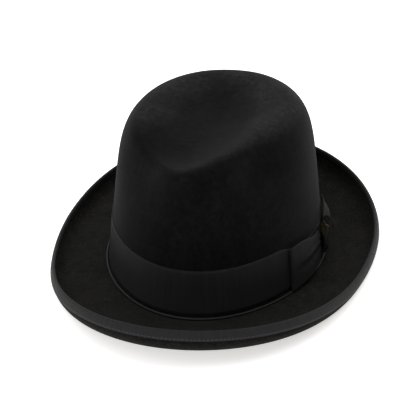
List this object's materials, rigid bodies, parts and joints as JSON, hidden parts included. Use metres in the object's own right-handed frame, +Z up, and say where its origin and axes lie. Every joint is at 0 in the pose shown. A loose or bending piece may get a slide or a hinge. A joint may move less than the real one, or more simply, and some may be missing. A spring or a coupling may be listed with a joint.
{
  "type": "homburg hat",
  "caption": "Fur felt dress hat with a creased crown, rolled bound brim, grosgrain band with side bow, wind cord, feather stick pin, leather sweatband and satin lining.",
  "frame": {"origin": "centre of the bounding box at the level the hat rests on, under the middle of the head opening", "axes": "+Z up through the crown, -Y towards the front of the hat, +X towards the wearer's left, where the bow is"},
  "size_m": [0.2556, 0.3362, 0.1248],
  "materials": {
    "fur_felt": "brushed black fur felt, very matte with a soft nap",
    "binding_grosgrain": "charcoal blue ribbed ribbon with a stitched edge",
    "band_grosgrain": "black ribbed grosgrain ribbon with a faint sheen",
    "wind_cord": "thin round twisted cord with a silky sheen",
    "bronze": "aged bronze, polished on the high spots",
    "pin_steel": "polished steel wire",
    "grey_feather": "soft grey hackle feather",
    "olive_feather": "olive brown hackle feather with a dark tip",
    "sweatband_leather": "smooth brown roan leather, satin",
    "reed_plastic": "cream reed in the sweatband's edge",
    "lining_satin": "warm grey satin with a sheen",
    "clear_shield": "clear flexible plastic",
    "label_paper": "blank cream size ticket"
  },
  "bodies": {
    "hat": {"felt_body": "fur_felt", "brim_binding": "binding_grosgrain", "hat_band": "band_grosgrain", "bow_front_loop": "band_grosgrain", "bow_rear_loop": "band_grosgrain", "bow_tail": "band_grosgrain", "bow_knot": "band_grosgrain", "wind_cord": "wind_cord", "sweatband": "sweatband_leather", "sweatband_reed": "reed_plastic", "sweatband_seam_tape": "band_grosgrain", "sweatband_bow": "lining_satin", "size_label": "label_paper", "lining_side": "lining_satin", "lining_tip": "lining_satin", "lining_piping": "lining_satin", "tip_shield": "clear_shield"},
    "ornament": {"ornament_head": "bronze", "ornament_pin": "pin_steel", "hackle_grey": "grey_feather", "hackle_olive": "olive_feather"}
  },
  "joints": [
    {"name": "ornament_slide", "type": "slide", "parent": "hat", "child": "ornament", "axis": [-0.1051, 0.0744, 0.9917], "range_m": [0, 0.045]}
  ]
}
